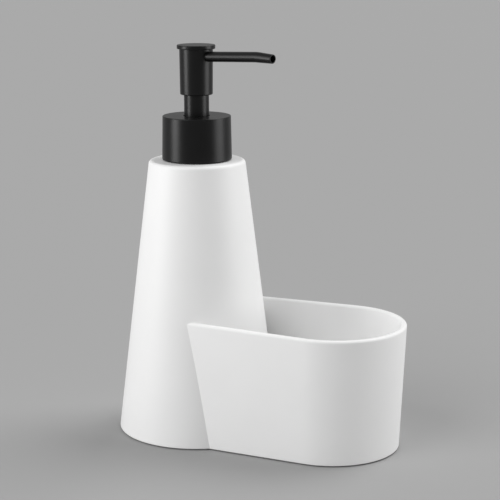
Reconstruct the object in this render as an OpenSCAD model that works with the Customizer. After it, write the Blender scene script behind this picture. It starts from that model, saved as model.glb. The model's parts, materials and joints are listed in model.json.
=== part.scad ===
// Soap pump caddy: a tapered soap bottle with an open sponge pocket at its foot, and a
// screw-on pump whose head turns and is pressed down. Millimetres, +Z up. The origin lies
// on the bottle's axis, on the surface that the caddy stands on. +X runs along the pocket.

/* [Tower] */
// Outer radius of the tower at its foot
tower_base_r = 41; // [39:0.5:44]
// Outer radius of the tower at its top, before the shoulder is rounded
tower_top_r = 24; // [22:0.5:27]
// Height of the tower's wall
tower_h = 138; // [125:1:155]
// Wall thickness of the tower
tower_wall = 3; // [2.5:0.25:4]
// Thickness of the flat top of the tower
deck_t = 3; // [2.5:0.25:4]
// Rounding of the tower's shoulder
shoulder_r = 2; // [1:0.25:3]
// Rounding of the lower edges of the tower and the pocket
foot_edge_r = 0.6; // [0.3:0.1:1]

/* [Pocket] */
// Height of the pocket's wall
pocket_h = 62.5; // [50:0.5:75]
// Half width of the pocket at its foot
pocket_base_half = 34; // [31:0.5:36]
// Distance from the bottle's axis to the pocket's far end, at its foot
pocket_base_reach = 107; // [98:1:120]
// Half width of the pocket's rim at its round end
pocket_rim_half = 35.5; // [33:0.5:38]
// Half width that the rim's straight sides run to at the bottle's axis
pocket_rim_root_half = 31.4; // [29.5:0.1:32]
// Distance from the bottle's axis to the pocket's far end, at its rim
pocket_rim_reach = 110; // [101:1:123]
// Wall thickness of the pocket
pocket_wall = 3; // [2.5:0.25:4]
// Thickness of the pocket's floor
pocket_floor_t = 3; // [2:0.25:5]
// Rounding of the rim's two edges
rim_edge_r = 1.3; // [0.6:0.1:1.3]
// Rounding where the pocket's wall meets its floor, inside
floor_fillet_r = 3; // [1:0.5:5]

/* [Base] */
// Height of the shells' lower edges above the surface
foot_gap = 0.5; // [0.3:0.1:1]
// Depth of the base plate's underside above the tower's lower edge
base_recess = 1; // [0.5:0.25:2]
// Thickness of the base plate
base_plate_t = 3; // [2:0.25:4]
// Thickness of the seal above the base plate
base_seal_t = 1; // [0.8:0.1:1.6]
// Width of the step in the tower's wall that the seal lies against
rebate_d = 1.2; // [0.8:0.1:1.4]
// Height of the ring that centres the base plate in the tower
spigot_h = 4; // [2:0.5:8]
// Thickness of that ring
spigot_t = 2; // [1.5:0.25:3]
// Radius of the round non-slip pad under the tower
tower_pad_r = 32; // [26:1:36]
// Radius of the small non-slip pads under the pocket
pocket_pad_r = 6; // [4:0.5:8]
// Distance from the bottle's axis to the small pads
pocket_pad_x = 88; // [80:1:92]
// Distance of each small pad from the middle plane
pocket_pad_y = 16; // [10:1:18]
// Depth of the small pads' recesses
pad_recess = 0.6; // [0.3:0.1:1]

/* [Neck] */
// Radius of the bottle's neck under its thread
neck_r = 12.55; // [12.3:0.05:12.9]
// Height of the neck above the tower's flat top
neck_h = 10.5; // [9.5:0.25:12]
// Radius of the hole through the neck
neck_bore_r = 10.75; // [10.4:0.05:10.9]
// How far the neck's plug reaches down into the tower
neck_plug_h = 10; // [6:0.5:14]
// How much wider the plug is than the neck
neck_plug_step = 0.8; // [0.5:0.1:1.2]
// Width of the neck's flange outside the plug
neck_flange_w = 1.6; // [1:0.1:2]
// Thickness of the neck's flange
neck_flange_t = 1.5; // [1:0.1:2]
// Height of the thread's ridge
thread_depth = 1.15; // [0.9:0.05:1.3]
// Rise of the thread in one turn
thread_pitch = 4.23; // [3.8:0.01:4.4]
// Turns of the thread
thread_turns = 1.1; // [1:0.05:1.15]

/* [Collar] */
// Height of the collar's cover
cover_h = 21.7; // [20:0.1:24]
// Wall thickness of the cover at its top
cover_wall = 0.9; // [0.7:0.05:1.2]
// How much wider the cover is at its foot
cover_draft = 0.4; // [0:0.1:1]
// Thickness of the cover's top
cover_top_t = 1.2; // [0.8:0.1:2]
// Rounding of the cover's top edge
cover_edge_r = 0.4; // [0.2:0.1:1.1]
// Wall thickness of the closure behind its thread
closure_wall = 2.2; // [1.9:0.05:2.6]
// Thickness of the closure's web, which holds the pump down
closure_web_t = 1.5; // [1.2:0.1:2]

/* [Pump] */
// Travel of the head from rest to fully pressed
stroke = 10; // [8:0.5:10.5]
// Thickness of the gasket on the neck
gasket_t = 1; // [0.8:0.1:1.5]
// Radius of the pump's flange
flange_r = 12; // [11.6:0.1:12.4]
// Thickness of the pump's flange
flange_t = 1.5; // [1.2:0.1:2]
// Outer radius of the pump's upper cup
cup_r = 8.5; // [8.2:0.1:9]
// Wall thickness of the pump's upper cup
cup_wall = 1.3; // [1.1:0.1:1.6]
// Depth of the cup below the flange
cup_depth = 7; // [6:0.5:9]
// Radius of the bore that the piston runs in
barrel_bore_r = 4.9; // [4.8:0.05:5.2]
// Wall thickness of the barrel
barrel_wall = 1.4; // [1.1:0.1:1.5]
// Radius of the inlet ball under the spring
ball_r = 2.75; // [2.6:0.05:2.9]
// Lift of the inlet ball off its seat
ball_lift = 1.5; // [1:0.1:2]
// Radius of the vent hole in the barrel
vent_r = 0.5; // [0.3:0.05:0.6]
// Outer radius of the dip tube
dip_tube_r = 3; // [2.8:0.1:3.2]
// Wall thickness of the dip tube
dip_tube_wall = 0.8; // [0.6:0.1:1]
// Gap between the dip tube and the base plate
dip_tube_gap = 4; // [2:0.5:8]
// Wire diameter of the spring
spring_wire = 1; // [0.8:0.1:1.2]
// Turns of the spring
spring_turns = 7; // [5:1:8]

/* [Stem] */
// Outer radius of the stem
stem_r = 3.2; // [3:0.05:3.3]
// Wall thickness of the stem
stem_wall = 1.4; // [1:0.1:1.4]
// Length of the piston's seal
seal_h = 5; // [4:0.5:6]
// Radius of the outlet ball on the stem's mouth
outlet_ball_r = 2.2; // [2.1:0.05:2.3]
// Lift of the outlet ball off the stem's mouth
outlet_lift = 1; // [0.6:0.1:1.1]

/* [Sleeve] */
// Outer radius of the fixed sleeve that guides the head
sleeve_r = 6.2; // [6.1:0.05:6.4]
// Wall thickness of the sleeve
sleeve_wall = 1.2; // [0.8:0.1:1.2]
// Thickness of the retaining ring's flange
ring_flange_t = 1.2; // [1:0.1:1.6]
// Radius of the retaining ring's flange
ring_flange_r = 10.6; // [10.2:0.1:11]

/* [Head] */
// Outer radius of the head at its top
head_top_r = 8.3; // [8.1:0.05:8.6]
// Outer radius of the head at its lower edge
head_foot_r = 8.1; // [7.9:0.05:8.3]
// Height of the head below its cap
head_h = 22.4; // [21:0.1:24]
// Radius of the cap
cap_r = 9.5; // [9:0.05:10]
// Thickness of the cap's rim
cap_t = 2; // [1.5:0.1:2.5]
// Rounding of the cap's rim
cap_edge_r = 0.4; // [0.2:0.1:0.7]

/* [Spout] */
// Outer radius of the spout
spout_r = 2.5; // [2.2:0.05:2.55]
// Outer radius of the spout at its mouth
spout_mouth_r = 2.2; // [2:0.05:2.4]
// Wall thickness of the spout
spout_wall = 0.8; // [0.7:0.05:1]
// Distance of the spout's middle line below the cap
spout_drop = 3.9; // [3.8:0.05:4.5]
// Length of the spout's straight stretch, from the head's axis
spout_straight = 38; // [36:1:50]
// Radius of the bend near the mouth
spout_bend_r = 30; // [20:1:60]
// Length of the end beyond the bend, which narrows to the mouth
spout_end_h = 9; // [3:0.5:10]
// Rise of the straight stretch, in degrees
spout_rise = 3; // [0:0.1:4]
// Fall of the mouth, in degrees
spout_fall = 2; // [0:0.1:20]
// Heading of the spout from the pocket's direction, in degrees
spout_heading = -16; // [-40:1:40]

/* [Clearances] */
// Gap at a glued or pressed joint
bond_gap = 0.05; // [0.02:0.01:0.08]
// Gap round a part that runs in a bore
run_gap = 0.05; // [0.03:0.01:0.08]
// Gap under a part that can be lifted off its seat
seat_gap = 0.1; // [0.05:0.01:0.15]
// Play of the collar between the pump's flanges
collar_play = 0.2; // [0.15:0.05:0.3]
// Gap between parts that pass each other with no guiding
pass_gap = 0.4; // [0.35:0.05:0.5]
// Gap between the head's lower edge and the cover at full stroke
end_gap = 0.5; // [0.4:0.1:0.8]

/* [Hidden] */
$fn = 96;

shell_white = [0.93, 0.93, 0.92];
pump_black = [0.07, 0.07, 0.075];
pale_plastic = [0.86, 0.87, 0.86];
clear_plastic = [0.82, 0.86, 0.88];
rubber_grey = [0.22, 0.22, 0.23];
steel_grey = [0.66, 0.67, 0.68];

// Overrun of a cut past the face that it leaves by
cut = 1;
// Steps in a quarter of a rounded edge, and of the fine edge at the pocket's foot
edge_steps = 4;
foot_edge_steps = 2;

// Tower
tower_z = foot_gap;
tower_top_z = tower_z + tower_h;
side_angle = atan((tower_base_r - tower_top_r) / tower_h);
function tower_r(z) =
    tower_base_r - (tower_base_r - tower_top_r) * (z - tower_z) / tower_h;
function tower_in_r(z) = tower_r(z) - tower_wall;
function rebate_r(z) = tower_in_r(z) + rebate_d;

// Base: plate, seal and ledge stacked up from the recess
plate_z = tower_z + base_recess;
seal_z = plate_z + base_plate_t;
ledge_z = seal_z + base_seal_t;

// Pocket
pocket_top_z = tower_z + pocket_h;
pocket_floor_z = tower_z + pocket_floor_t;
// Steps round the pocket's far end, and levels up its wall
end_steps = 28;
wall_levels = 4;

// Neck
neck_top_z = tower_top_z + neck_h;
neck_plug_r = neck_r + neck_plug_step;
mouth_r = neck_plug_r + bond_gap;
neck_flange_r = neck_plug_r + neck_flange_w;
thread_crest_r = neck_r + thread_depth;
thread_root_w = 2.2;
thread_crest_w = 1.1;
thread_sink = 0.3;
thread_z = tower_top_z + neck_flange_t + thread_root_w;
thread_steps = 30;
// Share of the thread over which each end fades out, and the share of its height left there
thread_fade_share = 0.12;
thread_end_share = 0.1;

// Pump, stacked up from the neck
gasket_z = neck_top_z + seat_gap;
flange_z = gasket_z + gasket_t;
flange_top_z = flange_z + flange_t;
web_z = flange_top_z + collar_play;
web_top_z = web_z + closure_web_t;
boss_top_z = web_top_z + collar_play;
ring_top_z = boss_top_z + ring_flange_t;
cup_floor_z = flange_z - cup_depth;
cup_bore_r = cup_r - cup_wall;
barrel_r = barrel_bore_r + barrel_wall;

// Stem and piston, hung from the retaining ring's lower end
ring_foot_z = cup_floor_z + seat_gap;
seal_top_z = ring_foot_z - end_gap;
seal_foot_z = seal_top_z - seal_h;
stem_neck_share = 0.8;
stem_neck_r = stem_r * stem_neck_share;
stem_foot_h = 1.4;
stem_foot_r = barrel_bore_r - 2 * pass_gap;
stem_foot_top_z = seal_foot_z - seat_gap;
stem_foot_z = stem_foot_top_z - stem_foot_h;
stem_bore_r = stem_r - stem_wall;
seal_lip_h = 1.2;
seal_waist = 0.5;

// Spring, with room for its solid length at full stroke
spring_slack = 2;
spring_h = stroke + (spring_turns + 1) * spring_wire + spring_slack;
spring_top_z = stem_foot_z - seat_gap;
spring_seat_z = spring_top_z - spring_h;
spring_mean_r = barrel_bore_r - pass_gap - spring_wire / 2;
spring_sides = 6;
spring_steps = 16;

// Inlet: the ball's cage, its seat and the socket of the dip tube
ball_room = 0.55;
cage_r = ball_r + ball_room;
inlet_r = 1.9;
seat_cone_h = cage_r - inlet_r;
cage_roof = 0.2;
lug_t = 1;
lug_w = 1;
// Share of the ball's radius at which the lugs end
lug_reach_share = 0.8;
lug_reach_r = ball_r * lug_reach_share;
// Height above the ball's centre at which its side meets the lugs' tips
lug_meet = sqrt(ball_r * ball_r - lug_reach_r * lug_reach_r);
ball_above_seat = (ball_r + bond_gap) * sqrt(2) - inlet_r;
lug_above_seat = ball_above_seat + ball_lift + lug_meet + seat_gap;
seat_z = spring_seat_z - cage_roof - lug_t - lug_above_seat;
ball_z = seat_z + ball_above_seat;
inlet_floor_t = 2;
socket_top_z = seat_z - inlet_floor_t;
socket_depth = 8;
socket_wall = 1.3;
socket_foot_z = socket_top_z - socket_depth;
socket_r = dip_tube_r + bond_gap;
nipple_r = socket_r + socket_wall;
barrel_foot_t = 1;
barrel_foot_z = seat_z - barrel_foot_t;

// Dip tube
tube_top_z = socket_top_z - seat_gap;
tube_foot_z = seal_z + dip_tube_gap;
tube_cut_angle = 35;

// Collar, sized outwards from the neck's thread, which its own thread runs in
thread_play = 0.15;
closure_root_r = thread_crest_r + thread_play;
closure_r = closure_root_r + closure_wall;
cover_bore_r = closure_r + bond_gap;
cover_top_r = cover_bore_r + cover_wall;
cover_foot_r = cover_top_r + cover_draft;
cover_gap = 0.3;
cover_z = tower_top_z + cover_gap;
cover_top_z = cover_z + cover_h;
cover_under_z = cover_top_z - cover_top_t;
cover_foot_edge_r = 0.5;
closure_foot_z = tower_top_z + neck_flange_t + end_gap;
closure_top_z = cover_under_z - bond_gap;
closure_thread_z = closure_foot_z + thread_root_w / 2;
// Distance of the closure's ridge below the neck's, with their flanks nearly touching
thread_drop = (thread_root_w + thread_crest_w) / 2 + seat_gap;
closure_thread_turn = 360 * (closure_thread_z - thread_z + thread_drop) / thread_pitch;
web_hole_r = cup_r + collar_play;
upper_bore_r = ring_flange_r + pass_gap;
cover_hole_r = sleeve_r + pass_gap;

// Retaining ring and sleeve
ring_plug_r = cup_bore_r - bond_gap;
ring_guide_r = stem_r + run_gap;
ring_guide_h = 4;
ring_relief = 0.6;
ring_relief_r = stem_r + ring_relief;
sleeve_bore_r = sleeve_r - sleeve_wall;
ring_spigot_r = sleeve_bore_r - bond_gap;
ring_spigot_h = 4;

// Head, placed so that it ends its stroke just above the cover
head_z = cover_top_z + stroke + end_gap;
head_top_z = head_z + head_h;
head_bore_r = sleeve_r + pass_gap;
head_edge_r = 0.5;
core_r = head_bore_r - bond_gap;
core_plug_h = 7.3;
core_top_z = head_top_z - bond_gap;
core_plug_z = core_top_z - core_plug_h;
core_boss_h = 4.5;
core_boss_z = core_plug_z - core_boss_h;
core_boss_r = sleeve_bore_r - pass_gap;
core_socket_h = 5;
core_socket_r = stem_r + bond_gap;
stem_top_z = core_boss_z + core_socket_h - bond_gap;
sleeve_top_z = core_plug_z - stroke - end_gap;
cap_boss_r = 4;
cap_boss_h = 0.8;

// Outlet: the ball on the stem's mouth and its chamber in the core
outlet_ball_z = stem_top_z + sqrt(pow(outlet_ball_r + bond_gap, 2) - stem_bore_r * stem_bore_r);
chamber_r = outlet_ball_r + ball_room;
chamber_top_z = outlet_ball_z + outlet_ball_r + outlet_lift + seat_gap;

// Spout, which ends against a step round the chamber
spout_bore_r = spout_r - spout_wall;
spout_step = 0.5;
spout_root = chamber_r + spout_step;
spout_z = head_top_z - spout_drop;
spout_sides = 24;
spout_bend_steps = 4;

// Points of a circular arc from angle a to angle b
function arc(x, y, r, a, b, steps = edge_steps) =
    [for (i = [0:steps]) let (t = a + (b - a) * i / steps) [x + r * cos(t), y + r * sin(t)]];

// A solid of revolution from a list of radius and height pairs
module turned(points) {
    rotate_extrude() polygon(points);
}

// A plain ring
module ring(outer_r, inner_r, z0, z1) {
    turned([[inner_r, z0], [outer_r, z0], [outer_r, z1], [inner_r, z1]]);
}

// A solid through a stack of rings that all have the same number of points, each ring
// running anticlockwise as seen from the end of the stack
function stack_faces(n, m) = concat(
    [[for (i = [0:m - 1]) i]],
    [for (k = [0:n - 2], i = [0:m - 1]) [k * m + i, (k + 1) * m + i, (k + 1) * m + (i + 1) % m]],
    [for (k = [0:n - 2], i = [0:m - 1]) [k * m + i, (k + 1) * m + (i + 1) % m, k * m + (i + 1) % m]],
    [[for (i = [m - 1:-1:0]) (n - 1) * m + i]]);

module stacked(rings) {
    points = [for (ring = rings, p = ring) p];
    polyhedron(points = points, faces = stack_faces(len(rings), len(rings[0])), convexity = 6);
}

// Tower: a cone with a rounded shoulder, open below, with the mouth in its flat top
module tower_shell() {
    foot_x = tower_base_r - foot_edge_r * (1 + sin(side_angle)) / cos(side_angle);
    shoulder_x = tower_top_r - shoulder_r * (1 - sin(side_angle)) / cos(side_angle);
    deck_under_z = tower_top_z - deck_t;
    color(shell_white) turned(concat(
        arc(foot_x, tower_z + foot_edge_r, foot_edge_r, -90, side_angle),
        arc(shoulder_x, tower_top_z - shoulder_r, shoulder_r, side_angle, 90),
        [[mouth_r, tower_top_z], [mouth_r, deck_under_z], [tower_in_r(deck_under_z), deck_under_z],
         [tower_in_r(ledge_z), ledge_z], [rebate_r(ledge_z), ledge_z], [rebate_r(tower_z), tower_z]]));
}

// One level of the pocket's outline, drawn in by a named amount: straight sides that run
// into a round end, whose share of the wall's height is u
function pocket_outline(z, inset) =
    let (u = (z - tower_z) / pocket_h,
         r = pocket_base_half + (pocket_rim_half - pocket_base_half) * u - inset,
         root = pocket_base_half + (pocket_rim_root_half - pocket_base_half) * u - inset,
         reach = pocket_base_reach + (pocket_rim_reach - pocket_base_reach) * u - inset,
         x = reach - r,
         lean = asin(r / norm([x, root])) - atan2(root, x))
    concat([[0, -root, z]],
           [for (p = arc(x, 0, r, -90 - lean, 90 + lean, end_steps)) [p[0], p[1], z]],
           [[0, root, z]]);

// Levels and insets of the outside, from the foot to the rim
function pocket_outside() = concat(
    [for (p = arc(0, 0, foot_edge_r, -90, 0, foot_edge_steps))
        [tower_z + foot_edge_r + p[1], foot_edge_r - p[0]]],
    [for (i = [1:wall_levels - 1]) [tower_z + pocket_h * i / wall_levels, 0]],
    [for (p = arc(0, 0, rim_edge_r, 0, 90)) [pocket_top_z - rim_edge_r + p[1], rim_edge_r - p[0]]]);

// Levels and insets of the hollow, from the floor to past the rim
function pocket_inside() = concat(
    [for (p = arc(0, 0, floor_fillet_r, -90, 0))
        [pocket_floor_z + floor_fillet_r + p[1], pocket_wall + floor_fillet_r - p[0]]],
    [for (i = [1:wall_levels - 1]) [tower_z + pocket_h * i / wall_levels, pocket_wall]],
    [for (p = arc(0, 0, rim_edge_r, 180, 90))
        [pocket_top_z - rim_edge_r + p[1], pocket_wall - rim_edge_r - p[0]]],
    [[pocket_top_z + cut, pocket_wall - rim_edge_r]]);

module pocket_pad_places() {
    for (side = [-1, 1]) translate([pocket_pad_x, side * pocket_pad_y, 0]) children();
}

// Pocket: a wall and a floor that end on the tower's side
module pocket_shell() {
    color(shell_white) difference() {
        stacked([for (level = pocket_outside()) pocket_outline(level[0], level[1])]);
        stacked([for (level = pocket_inside()) pocket_outline(level[0], level[1])]);
        translate([0, 0, tower_z - cut])
            cylinder(r1 = tower_r(tower_z - cut) + bond_gap,
                     r2 = tower_r(pocket_top_z + cut) + bond_gap, h = pocket_h + 2 * cut);
        pocket_pad_places() translate([0, 0, tower_z - cut])
            cylinder(r = pocket_pad_r + bond_gap, h = cut + pad_recess);
    }
}

// Base plate: closes the tower, with a ring that centres it inside the ledge
module base_plate() {
    spigot_r = tower_in_r(ledge_z + spigot_h) - pass_gap;
    color(shell_white) turned([
        [0, plate_z], [rebate_r(plate_z) - bond_gap, plate_z], [rebate_r(seal_z) - bond_gap, seal_z],
        [spigot_r, seal_z], [spigot_r, ledge_z + spigot_h],
        [spigot_r - spigot_t, ledge_z + spigot_h], [spigot_r - spigot_t, seal_z], [0, seal_z]]);
}

module base_seal() {
    spigot_r = tower_in_r(ledge_z + spigot_h) - pass_gap;
    color(rubber_grey) ring(rebate_r(ledge_z) - bond_gap, spigot_r + bond_gap, seal_z, ledge_z);
}

module tower_pad() {
    color(rubber_grey) cylinder(r = tower_pad_r, h = plate_z);
}

module pocket_pads() {
    color(rubber_grey) pocket_pad_places() cylinder(r = pocket_pad_r, h = tower_z + pad_recess);
}

// A thread's ridge wound on a radius: side is 1 where it stands outwards, -1 inwards
module thread(root_r, side, z, start_turn = 0) {
    count = ceil(thread_steps * thread_turns);
    stacked([for (i = [0:count])
        let (share = i / count,
             fade = min(1, min(share, 1 - share) / thread_fade_share),
             height = thread_depth * max(fade, thread_end_share),
             turn = start_turn + 360 * thread_turns * share,
             rise = z + thread_pitch * thread_turns * share,
             inner = root_r - side * thread_sink,
             outer = root_r + side * height,
             half_root = thread_root_w / 2,
             half_crest = thread_crest_w / 2,
             profile = [[inner, -half_root], [inner, half_root],
                        [outer, half_crest], [outer, -half_crest]],
             order = side > 0 ? [0, 1, 2, 3] : [3, 2, 1, 0])
        [for (k = order) [profile[k][0] * cos(turn), profile[k][0] * sin(turn), rise + profile[k][1]]]]);
}

// Neck: a threaded collar that is glued into the tower's mouth
module neck_insert() {
    color(pale_plastic) union() {
        turned([
            [neck_bore_r, tower_top_z - neck_plug_h], [neck_plug_r, tower_top_z - neck_plug_h],
            [neck_plug_r, tower_top_z], [neck_flange_r, tower_top_z],
            [neck_flange_r, tower_top_z + neck_flange_t], [neck_r, tower_top_z + neck_flange_t],
            [neck_r, neck_top_z], [neck_bore_r, neck_top_z]]);
        thread(neck_r, 1, thread_z);
    }
}

module neck_gasket() {
    color(rubber_grey) ring(neck_r, cup_r + pass_gap, gasket_z, flange_z);
}

// Pump housing: flange, cup, barrel with its vent, ball cage and the socket of the dip tube
module pump_housing() {
    color(pale_plastic) union() {
        difference() {
            turned([
                [socket_r, socket_foot_z], [nipple_r, socket_foot_z], [nipple_r, barrel_foot_z],
                [barrel_r, barrel_foot_z + (barrel_r - nipple_r)], [barrel_r, cup_floor_z - cup_wall],
                [cup_r, cup_floor_z - cup_wall + (cup_r - barrel_r)], [cup_r, flange_z],
                [flange_r, flange_z], [flange_r, flange_top_z], [cup_r, flange_top_z],
                [cup_r, boss_top_z], [cup_bore_r, boss_top_z], [cup_bore_r, cup_floor_z],
                [barrel_bore_r, cup_floor_z], [barrel_bore_r, spring_seat_z],
                [cage_r, spring_seat_z], [cage_r, seat_z + seat_cone_h], [inlet_r, seat_z],
                [inlet_r, socket_top_z], [socket_r, socket_top_z]]);
            translate([0, 0, (seal_foot_z + seal_top_z) / 2]) rotate([0, 90, 0])
                cylinder(r = vent_r, h = barrel_r + cut);
        }
        for (turn = [0, 120, 240]) rotate(turn)
            translate([lug_reach_r, -lug_w / 2, seat_z + lug_above_seat])
                cube([cage_r + barrel_wall / 2 - lug_reach_r, lug_w, lug_t]);
    }
}

module retaining_ring() {
    color(pump_black) turned([
        [ring_guide_r, ring_foot_z], [ring_plug_r, ring_foot_z], [ring_plug_r, boss_top_z],
        [ring_flange_r, boss_top_z], [ring_flange_r, ring_top_z], [ring_spigot_r, ring_top_z],
        [ring_spigot_r, ring_top_z + ring_spigot_h], [ring_relief_r, ring_top_z + ring_spigot_h],
        [ring_relief_r, ring_foot_z + ring_guide_h], [ring_guide_r, ring_foot_z + ring_guide_h]]);
}

module guide_sleeve() {
    color(pump_black) ring(sleeve_r, sleeve_bore_r, ring_top_z, sleeve_top_z);
}

// Dip tube, cut aslant at its lower end
module dip_tube() {
    span = 4 * dip_tube_r;
    color(clear_plastic) difference() {
        ring(dip_tube_r, dip_tube_r - dip_tube_wall, tube_foot_z, tube_top_z);
        translate([-dip_tube_r, 0, tube_foot_z]) rotate([0, -tube_cut_angle, 0])
            translate([-dip_tube_r, -span / 2, -span]) cube([2 * span, span, span]);
    }
}

module inlet_ball() {
    color(steel_grey) translate([0, 0, ball_z]) sphere(r = ball_r);
}

// Spring: a wire wound into a helix
module return_spring() {
    count = spring_turns * spring_steps;
    rise = spring_h - spring_wire;
    wire_r = spring_wire / 2;
    color(steel_grey) stacked([for (i = [0:count])
        let (turn = 360 * spring_turns * i / count,
             z = spring_seat_z + wire_r + rise * i / count)
        [for (k = [spring_sides - 1:-1:0])
            let (t = 360 * k / spring_sides, r = spring_mean_r + wire_r * cos(t))
            [r * cos(turn), r * sin(turn), z + wire_r * sin(t)]]]);
}

// Cover: the collar's smooth outer cup
module collar_cover() {
    color(pump_black) turned(concat(
        [[cover_bore_r, cover_z]],
        arc(cover_foot_r - cover_foot_edge_r, cover_z + cover_foot_edge_r, cover_foot_edge_r, -90, 0),
        arc(cover_top_r - cover_edge_r, cover_top_z - cover_edge_r, cover_edge_r, 0, 90),
        [[cover_hole_r, cover_top_z], [cover_hole_r, cover_under_z], [cover_bore_r, cover_under_z]]));
}

// Closure: the threaded cap inside the cover
module collar_closure() {
    color(pump_black) union() {
        turned([
            [closure_root_r, closure_foot_z], [closure_r, closure_foot_z], [closure_r, closure_top_z],
            [upper_bore_r, closure_top_z], [upper_bore_r, web_top_z], [web_hole_r, web_top_z],
            [web_hole_r, web_z], [closure_root_r, web_z]]);
        thread(closure_root_r, -1, closure_thread_z, closure_thread_turn);
    }
}

// Piston seal: a ring with a waist between its two lips
module piston_seal() {
    lip_r = barrel_bore_r - run_gap;
    bore_r = stem_neck_r + run_gap;
    color(pale_plastic) turned([
        [bore_r, seal_foot_z], [lip_r, seal_foot_z], [lip_r, seal_foot_z + seal_lip_h],
        [lip_r - seal_waist, seal_foot_z + seal_lip_h + seal_waist],
        [lip_r - seal_waist, seal_top_z - seal_lip_h - seal_waist],
        [lip_r, seal_top_z - seal_lip_h], [lip_r, seal_top_z], [bore_r, seal_top_z]]);
}

// Stem: the hollow rod from the piston up to the head
module pump_stem() {
    shoulder_z = seal_top_z + seat_gap;
    color(pale_plastic) turned([
        [stem_bore_r, stem_foot_z], [stem_foot_r, stem_foot_z], [stem_foot_r, stem_foot_top_z],
        [stem_neck_r, stem_foot_top_z], [stem_neck_r, shoulder_z], [stem_r, shoulder_z],
        [stem_r, stem_top_z], [stem_bore_r, stem_top_z]]);
}

module outlet_ball() {
    color(steel_grey) translate([0, 0, outlet_ball_z]) sphere(r = outlet_ball_r);
}

// Moves a shape drawn along +X at the spout's height to the spout's heading and rise
module at_spout() {
    translate([0, 0, spout_z]) rotate([0, 0, spout_heading]) rotate([0, -spout_rise, 0]) children();
}

// A round cut along the spout's straight stretch, from a distance off the head's axis
module spout_cut(r, start) {
    at_spout() translate([start, 0, 0]) rotate([0, 90, 0]) cylinder(r = r, h = 2 * head_top_r);
}

// Core: holds the stem below and the spout at its side, and the outlet ball between them
module head_core() {
    color(pump_black) difference() {
        turned([
            [0, core_boss_z], [core_boss_r, core_boss_z], [core_boss_r, core_plug_z],
            [core_r, core_plug_z], [core_r, core_top_z], [0, core_top_z]]);
        translate([0, 0, core_boss_z - cut]) cylinder(r = core_socket_r, h = cut + core_socket_h);
        translate([0, 0, core_boss_z]) cylinder(r = chamber_r, h = chamber_top_z - core_boss_z);
        translate([0, 0, core_top_z - cap_boss_h - bond_gap])
            cylinder(r = cap_boss_r + bond_gap, h = cap_boss_h + bond_gap + cut);
        spout_cut(spout_bore_r, 0);
        spout_cut(spout_r + bond_gap, spout_root - bond_gap);
    }
}

module head_shell() {
    color(pump_black) difference() {
        turned(concat(
            [[head_bore_r, head_z]],
            arc(head_foot_r - head_edge_r, head_z + head_edge_r, head_edge_r, -90, 0),
            [[head_top_r, head_top_z], [head_bore_r, head_top_z]]));
        spout_cut(spout_r + bond_gap, spout_root);
    }
}

// Cap: the flat disc that is pressed, with a boss in the core
module head_cap() {
    color(pump_black) turned(concat(
        [[0, head_top_z - cap_boss_h], [cap_boss_r, head_top_z - cap_boss_h], [cap_boss_r, head_top_z]],
        arc(cap_r - cap_edge_r, head_top_z + cap_edge_r, cap_edge_r, -90, 0),
        arc(cap_r - cap_edge_r, head_top_z + cap_t - cap_edge_r, cap_edge_r, 0, 90),
        [[0, head_top_z + cap_t]]));
}

// Rings along the spout's middle line: straight, round the bend, and straight to the mouth,
// where the radius may differ
function spout_rings(r, mouth_r, start, past_mouth) =
    let (bend = spout_rise + spout_fall,
         reach = spout_end_h + past_mouth,
         stations = concat(
             [[start, 0, 0]],
             [for (i = [0:spout_bend_steps])
                 let (t = bend * i / spout_bend_steps)
                 [spout_straight + spout_bend_r * sin(t), spout_bend_r * (cos(t) - 1), t]],
             [[spout_straight + spout_bend_r * sin(bend) + reach * cos(bend),
               spout_bend_r * (cos(bend) - 1) - reach * sin(bend), bend]]),
         last = len(stations) - 1)
    [for (i = [0:last])
        let (s = stations[i], ring_r = i == last ? mouth_r : r)
        [for (k = [0:spout_sides - 1])
            let (a = 360 * k / spout_sides)
            [s[0] + ring_r * sin(a) * sin(s[2]), ring_r * cos(a), s[1] + ring_r * sin(a) * cos(s[2])]]];

// Spout: a straight tube that bends down near its end, which narrows to the mouth
module spout_tube() {
    color(pump_black) at_spout() difference() {
        stacked(spout_rings(spout_r, spout_mouth_r, spout_root, 0));
        stacked(spout_rings(spout_bore_r, spout_bore_r, spout_root - cut, cut));
    }
}

tower_shell();
pocket_shell();
base_plate();
base_seal();
tower_pad();
pocket_pads();
neck_insert();
neck_gasket();
pump_housing();
retaining_ring();
guide_sleeve();
dip_tube();
inlet_ball();
return_spring();
collar_cover();
collar_closure();
piston_seal();
pump_stem();
outlet_ball();
head_core();
head_shell();
head_cap();
spout_tube();
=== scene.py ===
"""Looks of a soap pump caddy: a tapered white bottle with an open pocket at its foot, and a
satin black pump. Lengths are in millimetres and become metres where a mesh is made."""

import json
import math

import bmesh
import bpy
from mathutils import Matrix, Vector


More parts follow.
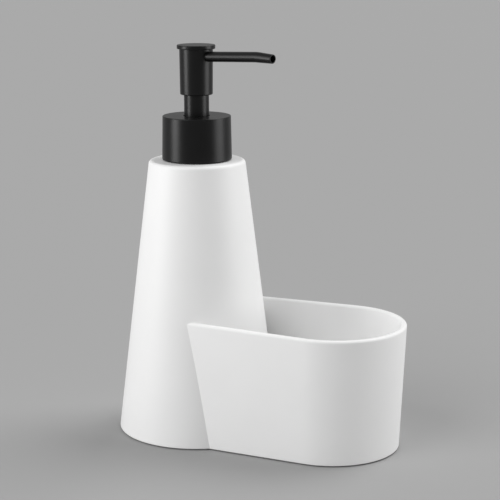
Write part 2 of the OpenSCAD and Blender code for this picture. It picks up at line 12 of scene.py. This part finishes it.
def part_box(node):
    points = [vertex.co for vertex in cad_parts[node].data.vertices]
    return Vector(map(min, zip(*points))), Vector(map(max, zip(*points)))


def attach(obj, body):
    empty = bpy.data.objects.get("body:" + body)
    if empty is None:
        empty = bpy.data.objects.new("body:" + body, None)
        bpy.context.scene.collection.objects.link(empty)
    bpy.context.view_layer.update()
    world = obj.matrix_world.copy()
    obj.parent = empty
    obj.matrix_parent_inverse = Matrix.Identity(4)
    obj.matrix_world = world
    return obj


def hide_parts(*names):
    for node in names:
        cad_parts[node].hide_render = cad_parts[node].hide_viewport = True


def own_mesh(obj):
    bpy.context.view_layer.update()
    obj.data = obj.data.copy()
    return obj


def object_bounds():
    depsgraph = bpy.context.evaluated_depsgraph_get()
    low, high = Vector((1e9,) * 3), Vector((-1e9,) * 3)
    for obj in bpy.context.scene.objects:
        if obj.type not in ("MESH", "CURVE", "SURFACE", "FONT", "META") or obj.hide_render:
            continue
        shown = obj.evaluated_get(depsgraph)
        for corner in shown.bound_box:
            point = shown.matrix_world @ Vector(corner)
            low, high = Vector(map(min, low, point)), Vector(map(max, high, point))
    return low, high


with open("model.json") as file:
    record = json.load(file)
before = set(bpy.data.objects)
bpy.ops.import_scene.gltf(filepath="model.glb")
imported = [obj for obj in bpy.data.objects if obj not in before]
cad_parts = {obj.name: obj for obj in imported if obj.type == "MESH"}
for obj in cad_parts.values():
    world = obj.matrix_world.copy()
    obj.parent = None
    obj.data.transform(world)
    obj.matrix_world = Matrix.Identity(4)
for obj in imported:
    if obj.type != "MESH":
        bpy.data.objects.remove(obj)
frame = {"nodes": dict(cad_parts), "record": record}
cad_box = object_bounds()

MM = 0.001
SEGMENTS = 160
EDGE_STEPS = 8
SHARP_ANGLE = math.radians(35)
MERGE_DISTANCE = 0.0001

# Camera, fitted to the outlines in the photograph
VIEW_AZIMUTH = math.radians(25.203)
VIEW_ELEVATION = math.radians(12.496)
VIEW_ROLL = math.radians(-0.144)
VIEW_DISTANCE = 787.28
VIEW_RIGHT = 26.261
VIEW_UP = 89.362
FOCAL_PIXELS = 1517.71
IMAGE_PIXELS = 500
SENSOR = 36
CLIP_START = 10
VIEW_BACK = Vector((
    math.sin(VIEW_AZIMUTH) * math.cos(VIEW_ELEVATION),
    -math.cos(VIEW_AZIMUTH) * math.cos(VIEW_ELEVATION),
    math.sin(VIEW_ELEVATION),
))
VIEW_SIDE = Vector((math.cos(VIEW_AZIMUTH), math.sin(VIEW_AZIMUTH), 0))

# Bottle
FOOT_GAP = 0.5
TOWER_BASE_R = 41
TOWER_TOP_R = 24
TOWER_H = 138
TOWER_WALL = 3
SHOULDER_R = 2
FOOT_EDGE_R = 0.6
MOUTH_R = 13.4

# Pocket
POCKET_H = 62.5
POCKET_BASE_HALF = 34
POCKET_BASE_REACH = 107
POCKET_RIM_HALF = 35.5
POCKET_RIM_ROOT_HALF = 31.4
POCKET_RIM_REACH = 110
POCKET_WALL = 3
POCKET_FLOOR = 3
RIM_R = 1.4
FLOOR_FILLET_R = 3
SINK = 0.3
WALL_LEVELS = 24
SIDE_STATIONS = 12
END_STATIONS = 56

# Pump
COVER_TOP_R = 17
COVER_BORE_R = 16.1
COVER_TOP_T = 1.2
COVER_EDGE_R = 0.4
COVER_FOOT_EDGE_R = 0.5
PASS_GAP = 0.4
SLEEVE_WALL = 1.2
HEAD_FOOT_R = 8.1
HEAD_EDGE_R = 0.5
CAP_T = 2
CAP_EDGE_R = 0.4
SPOUT_R = 2.5
SPOUT_MOUTH_R = 2.2
SPOUT_BORE_R = 1.7
SPOUT_LIP_R = 0.2
SPOUT_DROP = 3.9
SPOUT_ROOT = 3.25
SPOUT_STRAIGHT = 38
SPOUT_BEND_R = 30
SPOUT_END_H = 9
SPOUT_RISE = math.radians(3)
SPOUT_FALL = math.radians(2)
SPOUT_HEADING = math.radians(-16)
SPOUT_SIDES = 48
SPOUT_STEPS = 12
SPRING_WIRE_R = 0.5
SPRING_TURNS = 7
SPRING_SIDES = 12
SPRING_STEPS = 32


def lowest(node):
    """Height of a node's lowest point, in millimetres."""
    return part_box(node)[0].z / MM


def highest(node):
    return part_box(node)[1].z / MM


def widest(node):
    """Largest radius of a node of revolution, in millimetres."""
    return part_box(node)[1].x / MM


def arc(x, y, r, start, end, steps=EDGE_STEPS):
    """Points of a circular arc between two angles in degrees."""
    turns = [math.radians(start + (end - start) * i / steps) for i in range(steps + 1)]
    return [(x + r * math.cos(t), y + r * math.sin(t)) for t in turns]


# Meshes


def finish_mesh(name, points, faces):
    """Makes an object of millimetre points, with smooth faces and crisp edges."""
    mesh = bpy.data.meshes.new(name)
    mesh.from_pydata([Vector(p) * MM for p in points], [], faces)
    made = bmesh.new()
    made.from_mesh(mesh)
    bmesh.ops.remove_doubles(made, verts=made.verts, dist=MERGE_DISTANCE * MM)
    bmesh.ops.recalc_face_normals(made, faces=made.faces)
    made.to_mesh(mesh)
    made.free()
    mesh.polygons.foreach_set("use_smooth", [True] * len(mesh.polygons))
    mesh.set_sharp_from_angle(angle=SHARP_ANGLE)
    piece = bpy.data.objects.new(name, mesh)
    bpy.context.scene.collection.objects.link(piece)
    weighted = piece.modifiers.new("weighted_normals", "WEIGHTED_NORMAL")
    weighted.keep_sharp = True
    return piece


def skin(name, rings, joined=False):
    """A surface through closed rings of points. A ring of one point is a pole, and joined
    leads the last ring back to the first."""
    points = []
    numbers = []
    for ring in rings:
        numbers.append(range(len(points), len(points) + len(ring)))
        points.extend(ring)
    pairs = list(zip(numbers, numbers[1:]))
    if joined:
        pairs.append((numbers[-1], numbers[0]))
    faces = []
    for low, high in pairs:
        count = max(len(low), len(high))
        for i in range(count):
            j = (i + 1) % count
            corners = (low[i % len(low)], low[j % len(low)], high[j % len(high)], high[i % len(high)])
            face = list(dict.fromkeys(corners))
            if len(face) > 2:
                faces.append(face)
    return finish_mesh(name, points, faces)


def turned(name, profile, closed=True):
    """A surface of revolution about the pump's axis, from pairs of radius and height."""
    angles = [2 * math.pi * i / SEGMENTS for i in range(SEGMENTS)]
    rings = []
    for r, z in profile:
        if r == 0:
            rings.append([(0, 0, z)])
        else:
            rings.append([(r * math.cos(a), r * math.sin(a), z) for a in angles])
    return skin(name, rings, joined=closed)


def dress(piece, body, slot, *nodes):
    """Gives a piece its body and its slot's finish, and hides the nodes that it stands for."""
    piece.data.materials.append(FINISHES[slot])
    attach(piece, body)
    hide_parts(*nodes)
    return piece


# Materials

EVEN = (1, 1, 1)
DRAWN = (1, 1, 6)
WANDER_DETAIL = 3
GRAIN_DETAIL = 2
LOW_SHARE = 0.3
HIGH_SHARE = 0.7


def node_material(name):
    material = bpy.data.materials.new(name)
    material.use_nodes = True
    tree = material.node_tree
    return material, tree, tree.nodes["Principled BSDF"]


def noise(tree, scale, detail, stretch=EVEN):
    """Noise in the object's own place, with its scale in cells for each metre."""
    place = tree.nodes.new("ShaderNodeTexCoord")
    mapping = tree.nodes.new("ShaderNodeMapping")
    mapping.inputs["Scale"].default_value = stretch
    texture = tree.nodes.new("ShaderNodeTexNoise")
    texture.inputs["Scale"].default_value = scale
    texture.inputs["Detail"].default_value = detail
    tree.links.new(place.outputs["Object"], mapping.inputs["Vector"])
    tree.links.new(mapping.outputs["Vector"], texture.inputs["Vector"])
    return texture.outputs["Fac"]


def vary_colour(tree, shader, fac, low, high):
    """Lets the base colour wander between two close colours, which it reaches at a low and a
    high share of the texture."""
    ramp = tree.nodes.new("ShaderNodeValToRGB")
    ramp.color_ramp.elements[0].position = LOW_SHARE
    ramp.color_ramp.elements[0].color = (*low, 1)
    ramp.color_ramp.elements[1].position = HIGH_SHARE
    ramp.color_ramp.elements[1].color = (*high, 1)
    tree.links.new(fac, ramp.inputs["Fac"])
    tree.links.new(ramp.outputs["Color"], shader.inputs["Base Color"])


def vary_roughness(tree, shader, fac, low, high):
    span = tree.nodes.new("ShaderNodeMapRange")
    span.inputs["To Min"].default_value = low
    span.inputs["To Max"].default_value = high
    tree.links.new(fac, span.inputs["Value"])
    tree.links.new(span.outputs["Result"], shader.inputs["Roughness"])


def add_bump(tree, shader, fac, height, strength):
    """Bump from a texture, whose full height is given in millimetres."""
    bump = tree.nodes.new("ShaderNodeBump")
    bump.inputs["Strength"].default_value = strength
    bump.inputs["Distance"].default_value = height * MM
    tree.links.new(fac, bump.inputs["Height"])
    tree.links.new(bump.outputs["Normal"], shader.inputs["Normal"])


def surface(name, low, high, rough, broad, fine, height, strength, stretch=EVEN):
    """A finish whose colour and roughness wander broadly and whose grain is fine. Both scales
    are in cells for each metre, and the grain's height is in millimetres."""
    material, tree, shader = node_material(name)
    wander = noise(tree, broad, WANDER_DETAIL)
    vary_colour(tree, shader, wander, low, high)
    vary_roughness(tree, shader, wander, *rough)
    grain = noise(tree, fine, GRAIN_DETAIL, stretch)
    add_bump(tree, shader, grain, height, strength)
    return material, shader


def white_moulding():
    material, shader = surface(
        "white_moulding",
        low=(0.865, 0.865, 0.863),
        high=(0.88, 0.88, 0.878),
        rough=(0.46, 0.54),
        broad=45,
        fine=1500,
        height=0.02,
        strength=0.12,
    )
    shader.inputs["IOR"].default_value = 1.46
    return material


def black_coating():
    material, shader = surface(
        "black_coating",
        low=(0.002, 0.002, 0.0021),
        high=(0.003, 0.003, 0.0032),
        rough=(0.31, 0.36),
        broad=120,
        fine=2600,
        height=0.02,
        strength=0.25,
    )
    shader.inputs["IOR"].default_value = 1.5
    shader.inputs["Specular IOR Level"].default_value = 0.27
    return material


def black_moulding():
    return surface(
        "black_moulding",
        low=(0.012, 0.012, 0.013),
        high=(0.018, 0.018, 0.019),
        rough=(0.45, 0.55),
        broad=90,
        fine=1800,
        height=0.03,
        strength=0.3,
    )[0]


def pale_moulding():
    return surface(
        "pale_moulding",
        low=(0.76, 0.77, 0.76),
        high=(0.8, 0.81, 0.8),
        rough=(0.38, 0.46),
        broad=70,
        fine=1600,
        height=0.02,
        strength=0.2,
    )[0]


def grey_rubber():
    return surface(
        "grey_rubber",
        low=(0.045, 0.045, 0.048),
        high=(0.065, 0.065, 0.068),
        rough=(0.7, 0.85),
        broad=200,
        fine=1400,
        height=0.08,
        strength=0.6,
    )[0]


def drawn_steel():
    material, shader = surface(
        "drawn_steel",
        low=(0.58, 0.58, 0.59),
        high=(0.66, 0.66, 0.67),
        rough=(0.2, 0.3),
        broad=300,
        fine=2200,
        height=0.01,
        strength=0.3,
        stretch=DRAWN,
    )
    shader.inputs["Metallic"].default_value = 1
    return material


def clear_tubing():
    material, shader = surface(
        "clear_tubing",
        low=(0.8, 0.85, 0.87),
        high=(0.86, 0.9, 0.92),
        rough=(0.18, 0.26),
        broad=60,
        fine=900,
        height=0.02,
        strength=0.1,
    )
    shader.inputs["Transmission Weight"].default_value = 0.7
    shader.inputs["IOR"].default_value = 1.5
    return material


FINISHES = {
    "white_shell": white_moulding(),
    "black_metal": black_coating(),
    "black_plastic": black_moulding(),
    "pale_plastic": pale_moulding(),
    "clear_tube": clear_tubing(),
    "grey_rubber": grey_rubber(),
    "bare_steel": drawn_steel(),
}


def finish_nodes():
    """Gives every CAD node the finish of its slot."""
    for part in frame["record"]["subparts"]:
        mesh = frame["nodes"][part["node"]].data
        mesh.materials.clear()
        mesh.materials.append(FINISHES[part["material_slot"]])


# Bottle

tower_foot = lowest("tower_shell")
tower_top = highest("tower_shell")
SIDE_ANGLE = math.degrees(math.atan((TOWER_BASE_R - TOWER_TOP_R) / TOWER_H))


def tower_r(z):
    return TOWER_BASE_R - (TOWER_BASE_R - TOWER_TOP_R) * (z - tower_foot) / TOWER_H


def make_tower():
    """The cone, its rounded shoulder, the flat top round the mouth, and the hollow."""
    lean = math.radians(SIDE_ANGLE)
    foot_x = TOWER_BASE_R - FOOT_EDGE_R * (1 + math.sin(lean)) / math.cos(lean)
    shoulder_x = TOWER_TOP_R - SHOULDER_R * (1 - math.sin(lean)) / math.cos(lean)
    under = tower_top - TOWER_WALL
    foot = arc(foot_x, tower_foot + FOOT_EDGE_R, FOOT_EDGE_R, -90, SIDE_ANGLE)
    shoulder = arc(shoulder_x, tower_top - SHOULDER_R, SHOULDER_R, SIDE_ANGLE, 90)
    inside = [
        (MOUTH_R, tower_top),
        (MOUTH_R, under),
        (tower_r(under) - TOWER_WALL, under),
        (tower_r(tower_foot) - TOWER_WALL, tower_foot),
    ]
    piece = turned("tower", foot + shoulder + inside)
    return dress(piece, "caddy", "white_shell", "tower_shell")


# Pocket

pocket_foot = lowest("pocket_shell")
pocket_top = highest("pocket_shell")


def outline(z, inset):
    """The pocket's outline at a height, drawn in by inset: from the bottle's side along the
    near wall, round the far end and back to the bottle."""
    share = (z - pocket_foot) / POCKET_H
    r = POCKET_BASE_HALF + (POCKET_RIM_HALF - POCKET_BASE_HALF) * share - inset
    root = POCKET_BASE_HALF + (POCKET_RIM_ROOT_HALF - POCKET_BASE_HALF) * share - inset
    reach = POCKET_BASE_REACH + (POCKET_RIM_REACH - POCKET_BASE_REACH) * share - inset
    x = reach - r
    lean = math.asin(r / math.hypot(x, root)) - math.atan2(root, x)
    end = arc(x, 0, r, -90 - math.degrees(lean), 90 + math.degrees(lean), END_STATIONS)
    start = meets_tower((0, -root), end[0], tower_r(z) - SINK)
    dx, dy = end[0][0] - start[0], end[0][1] - start[1]
    side = []
    for i in range(SIDE_STATIONS):
        side.append((start[0] + dx * i / SIDE_STATIONS, start[1] + dy * i / SIDE_STATIONS))
    back = [(px, -py) for px, py in reversed(side)]
    return [(px, py, z) for px, py in side + end + back]


def meets_tower(near, far, r):
    """Where the line from a point inside a circle about the axis to a point outside leaves it."""
    dx, dy = far[0] - near[0], far[1] - near[1]
    a = dx * dx + dy * dy
    b = near[0] * dx + near[1] * dy
    c = near[0] ** 2 + near[1] ** 2 - r * r
    t = (-b + math.sqrt(b * b - a * c)) / a
    return near[0] + dx * t, near[1] + dy * t


def pocket_levels():
    """Heights and insets from the foot up the outside, over the rim and down to the floor."""
    floor = pocket_foot + POCKET_FLOOR
    low = pocket_foot + FOOT_EDGE_R
    high = pocket_top - RIM_R
    fillet_top = floor + FLOOR_FILLET_R
    foot = [(low + y, FOOT_EDGE_R - x) for x, y in arc(0, 0, FOOT_EDGE_R, -90, 0)]
    outside = [(low + (high - low) * i / WALL_LEVELS, 0) for i in range(1, WALL_LEVELS)]
    rim_out = [(high + y, RIM_R - x) for x, y in arc(0, 0, RIM_R, 0, 90)]
    rim_in = [(high + y, POCKET_WALL - RIM_R - x) for x, y in arc(0, 0, RIM_R, 90, 180)]
    inside = [
        (high + (fillet_top - high) * i / WALL_LEVELS, POCKET_WALL) for i in range(1, WALL_LEVELS)
    ]
    corner = [
        (fillet_top + y, POCKET_WALL + FLOOR_FILLET_R - x) for x, y in arc(0, 0, FLOOR_FILLET_R, 0, -90)
    ]
    return foot + outside + rim_out + rim_in + inside + corner


def tower_arc(first, last, z):
    """Points on the bottle's side between two points of the pocket, without the two."""
    a, b = math.atan2(first[1], first[0]), math.atan2(last[1], last[0])
    r = tower_r(z) - SINK
    turns = [a + (b - a) * i / END_STATIONS for i in range(1, END_STATIONS)]
    return [(r * math.cos(t), r * math.sin(t), z) for t in turns]


def make_pocket():
    """A wall and a floor of one thickness each, closed where they end inside the bottle's wall."""
    rows = [outline(z, inset) for z, inset in pocket_levels()]
    columns = len(rows[0])
    points = [p for row in rows for p in row]
    faces = []
    for k in range(len(rows) - 1):
        for i in range(columns - 1):
            a = k * columns + i
            faces.append((a, a + 1, a + 1 + columns, a + columns))
    top_row = (len(rows) - 1) * columns
    low_arc = tower_arc(rows[0][-1], rows[0][0], rows[0][0][2])
    high_arc = tower_arc(rows[-1][-1], rows[-1][0], rows[-1][0][2])
    low_start = len(points)
    points.extend(low_arc)
    high_start = len(points)
    points.extend(high_arc)
    low_line = [columns - 1, *range(low_start, high_start), 0]
    high_line = [top_row + columns - 1, *range(high_start, len(points)), top_row]
    faces.extend(zip(low_line, low_line[1:], high_line[1:], high_line))
    faces.append([*range(columns), *low_line[1:-1]])
    faces.append([*range(top_row, top_row + columns), *high_line[1:-1]])
    faces.append([k * columns for k in range(len(rows))])
    faces.append([k * columns + columns - 1 for k in range(len(rows))])
    piece = finish_mesh("pocket", points, faces)
    return dress(piece, "caddy", "white_shell", "pocket_shell")


# Pump


def make_collar():
    foot, top = lowest("collar_cover"), highest("collar_cover")
    foot_r = widest("collar_cover")
    hole_r = widest("guide_sleeve") + PASS_GAP
    profile = [(COVER_BORE_R, foot)]
    profile += arc(foot_r - COVER_FOOT_EDGE_R, foot + COVER_FOOT_EDGE_R, COVER_FOOT_EDGE_R, -90, 0)
    profile += arc(COVER_TOP_R - COVER_EDGE_R, top - COVER_EDGE_R, COVER_EDGE_R, 0, 90)
    profile += [(hole_r, top), (hole_r, top - COVER_TOP_T), (COVER_BORE_R, top - COVER_TOP_T)]
    return dress(turned("collar", profile), "collar", "black_metal", "collar_cover")


def make_sleeve():
    foot, top = lowest("guide_sleeve"), highest("guide_sleeve")
    r = widest("guide_sleeve")
    profile = [(r - SLEEVE_WALL, foot), (r, foot), (r, top), (r - SLEEVE_WALL, top)]
    return dress(turned("sleeve", profile), "pump", "black_metal", "guide_sleeve")


def make_head():
    foot, top = lowest("head_shell"), highest("head_shell")
    bore_r = widest("guide_sleeve") + PASS_GAP
    profile = [(bore_r, foot)]
    profile += arc(HEAD_FOOT_R - HEAD_EDGE_R, foot + HEAD_EDGE_R, HEAD_EDGE_R, -90, 0)
    profile += [(widest("head_shell"), top), (bore_r, top)]
    return dress(turned("head", profile), "head", "black_metal", "head_shell")


def make_cap():
    top = highest("head_cap")
    r = widest("head_cap")
    foot = top - CAP_T
    profile = [(0, foot)]
    profile += arc(r - CAP_EDGE_R, foot + CAP_EDGE_R, CAP_EDGE_R, -90, 0)
    profile += arc(r - CAP_EDGE_R, top - CAP_EDGE_R, CAP_EDGE_R, 0, 90)
    profile += [(0, top)]
    piece = turned("cap", profile, closed=False)
    return dress(piece, "head", "black_metal", "head_cap")


def spout_place():
    """Moves what is drawn along +X to the spout's height, heading and rise."""
    height = highest("head_shell") - SPOUT_DROP
    turn = Matrix.Rotation(SPOUT_HEADING, 4, "Z") @ Matrix.Rotation(-SPOUT_RISE, 4, "Y")
    return Matrix.Translation((0, 0, height)) @ turn


def spout_line():
    """Stations along the spout: place in its plane, the angle that it falls at, and its
    outer radius, which shrinks along its last stretch."""
    bend = SPOUT_RISE + SPOUT_FALL
    stations = [(SPOUT_ROOT, 0, 0, SPOUT_R)]
    for i in range(SPOUT_STEPS + 1):
        t = bend * i / SPOUT_STEPS
        x = SPOUT_STRAIGHT + SPOUT_BEND_R * math.sin(t)
        z = SPOUT_BEND_R * (math.cos(t) - 1)
        stations.append((x, z, t, SPOUT_R))
    for i in range(1, SPOUT_STEPS + 1):
        share = i / SPOUT_STEPS
        along = SPOUT_END_H * share
        r = SPOUT_R + (SPOUT_MOUTH_R - SPOUT_R) * share
        stations.append((x + along * math.cos(bend), z - along * math.sin(bend), bend, r))
    return stations


def spout_ring(place, station, r, back=0):
    """A ring square to the spout's line, drawn back along it by a small distance."""
    x, z, fall, _ = station
    x -= back * math.cos(fall)
    z += back * math.sin(fall)
    ring = []
    for k in range(SPOUT_SIDES):
        a = 2 * math.pi * k / SPOUT_SIDES
        across = r * math.cos(a)
        up = r * math.sin(a)
        ring.append(place @ Vector((x + up * math.sin(fall), across, z + up * math.cos(fall))))
    return ring


def make_spout():
    """A tube that narrows to its mouth, with a rounded lip, open to its root."""
    place = spout_place()
    line = spout_line()
    mouth = line[-1]
    outer_lip = arc(SPOUT_MOUTH_R - SPOUT_LIP_R, SPOUT_LIP_R, SPOUT_LIP_R, 0, -90)
    inner_lip = arc(SPOUT_BORE_R + SPOUT_LIP_R, SPOUT_LIP_R, SPOUT_LIP_R, -90, -180)
    rings = [spout_ring(place, s, s[3]) for s in line[:-1]]
    rings += [spout_ring(place, mouth, r, back) for r, back in outer_lip + inner_lip]
    rings += [spout_ring(place, s, SPOUT_BORE_R) for s in reversed(line[:-1])]
    piece = skin("spout", rings, joined=True)
    return dress(piece, "head", "black_metal", "spout_tube")


def make_spring():
    """A wound wire round the pump's axis. The real one shortens as the head goes down; here it is drawn
    at one length.
    """
    foot, top = lowest("return_spring"), highest("return_spring")
    r = widest("return_spring") - SPRING_WIRE_R
    rise = top - foot - 2 * SPRING_WIRE_R
    count = SPRING_TURNS * SPRING_STEPS
    centres = []
    rings = []
    for i in range(count + 1):
        turn = 2 * math.pi * i / SPRING_STEPS
        z = foot + SPRING_WIRE_R + rise * i / count
        centres.append((r * math.cos(turn), r * math.sin(turn), z))
        section = arc(r, z, SPRING_WIRE_R, 0, 360, SPRING_SIDES)[:-1]
        rings.append([(x * math.cos(turn), x * math.sin(turn), y) for x, y in section])
    piece = skin("spring", [[centres[0]], *rings, [centres[-1]]])
    dress(piece, "pump", "bare_steel", "return_spring")
    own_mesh(piece)
    return piece


# Floor, lights and camera

FLOOR_SIZE = 60000
FLOOR_COLOUR = (0.42, 0.42, 0.42, 1)
FLOOR_ROUGHNESS = 0.9
FLOOR_GLOSS = 0.1
WORLD_COLOUR = (1, 1, 1, 1)
WORLD_LIGHT = 0.4
STRIP_SPREAD = math.radians(70)
# Each soft lamp's turn, height and spread in degrees, and its strength
LAMPS = (
    ("front_lamp", -50, 40, 40, 0.95),
    ("back_lamp", 120, 55, 40, 1.35),
)
# Each strip's turn in degrees, its distance, width and height, and how bright it is
STRIPS = (
    ("left_strip", -75, 750, 300, 800, 1.08),
    ("right_strip", 82, 750, 500, 800, 0.66),
)


def make_floor():
    """A pale floor, wide enough to reach the horizon in every view, and as bright as the room."""
    bpy.ops.mesh.primitive_plane_add(size=FLOOR_SIZE * MM, location=(0, 0, 0))
    floor = bpy.context.object
    floor.name = "floor"
    material, _, shader = node_material("pale_floor")
    shader.inputs["Base Color"].default_value = FLOOR_COLOUR
    shader.inputs["Roughness"].default_value = FLOOR_ROUGHNESS
    shader.inputs["Specular IOR Level"].default_value = FLOOR_GLOSS
    floor.data.materials.append(material)
    return floor


def make_world():
    """An even, pale grey room."""
    world = bpy.data.worlds.new("studio")
    bpy.context.scene.world = world
    world.use_nodes = True
    shade = world.node_tree.nodes["Background"]
    shade.inputs["Color"].default_value = WORLD_COLOUR
    shade.inputs["Strength"].default_value = WORLD_LIGHT


def towards(turn, height):
    """Direction of a lamp, turned to the right of the camera's direction and raised."""
    level = Vector((VIEW_BACK.x, VIEW_BACK.y, 0)).normalized()
    around = level * math.cos(turn) + VIEW_SIDE * math.sin(turn)
    return around * math.cos(height) + Vector((0, 0, 1)) * math.sin(height)


def place_lamp(name, lamp, direction, place=(0, 0, 0)):
    """Puts a lamp so that it shines against a direction."""
    holder = bpy.data.objects.new(name, lamp)
    holder.rotation_euler = direction.to_track_quat("Z", "Y").to_euler()
    holder.location = place
    bpy.context.scene.collection.objects.link(holder)
    return holder


def soft_light(name, turn, height, spread, strength):
    """A distant soft lamp, as wide as its spread."""
    lamp = bpy.data.lights.new(name, "SUN")
    lamp.angle = spread
    lamp.energy = strength
    return place_lamp(name, lamp, towards(turn, height))


def spare(floor):
    """A collection that keeps a lamp's light off the floor and lets it reach all else."""
    spared = bpy.data.collections.new("spared")
    spared.objects.link(floor)
    spared.collection_objects[0].light_linking.link_state = "EXCLUDE"
    return spared


def strip_light(name, spared, turn, distance, width, height, strength):
    """A tall upright panel that stands on the floor beside the object. It leaves the floor
    out, so that no bright patch with an edge shows there."""
    lamp = bpy.data.lights.new(name, "AREA")
    lamp.shape = "RECTANGLE"
    lamp.size = width * MM
    lamp.size_y = height * MM
    lamp.energy = strength * lamp.size * lamp.size_y * math.pi
    lamp.spread = STRIP_SPREAD
    direction = towards(turn, 0)
    low, high = cad_box
    middle = Vector(((low[0] + high[0]) / 2, (low[1] + high[1]) / 2, lamp.size_y / 2))
    holder = place_lamp(name, lamp, direction, middle + direction * distance * MM)
    holder.visible_camera = False
    holder.light_linking.receiver_collection = spared
    return holder


def make_camera():
    up = VIEW_BACK.cross(VIEW_SIDE)
    target = VIEW_SIDE * VIEW_RIGHT + up * VIEW_UP + Vector((0, 0, FOOT_GAP))
    place = (target + VIEW_BACK * VIEW_DISTANCE) * MM
    side = VIEW_SIDE * math.cos(VIEW_ROLL) + up * math.sin(VIEW_ROLL)
    top = up * math.cos(VIEW_ROLL) - VIEW_SIDE * math.sin(VIEW_ROLL)
    data = bpy.data.cameras.new("camera")
    data.sensor_width = SENSOR
    data.lens = FOCAL_PIXELS / IMAGE_PIXELS * SENSOR
    data.clip_start = CLIP_START * MM
    camera = bpy.data.objects.new("camera", data)
    turn = Matrix((side, top, VIEW_BACK)).transposed().to_4x4()
    camera.matrix_world = Matrix.Translation(place) @ turn
    bpy.context.scene.collection.objects.link(camera)
    bpy.context.scene.camera = camera


bpy.context.scene.view_settings.view_transform = "Standard"
make_camera()
make_world()
spared_floor = spare(make_floor())
for name, turn, height, spread, strength in LAMPS:
    soft_light(name, math.radians(turn), math.radians(height), math.radians(spread), strength)
for name, turn, distance, width, height, strength in STRIPS:
    strip_light(name, spared_floor, math.radians(turn), distance, width, height, strength)
finish_nodes()
make_tower()
make_pocket()
make_collar()
make_sleeve()
make_head()
make_cap()
make_spout()
make_spring()
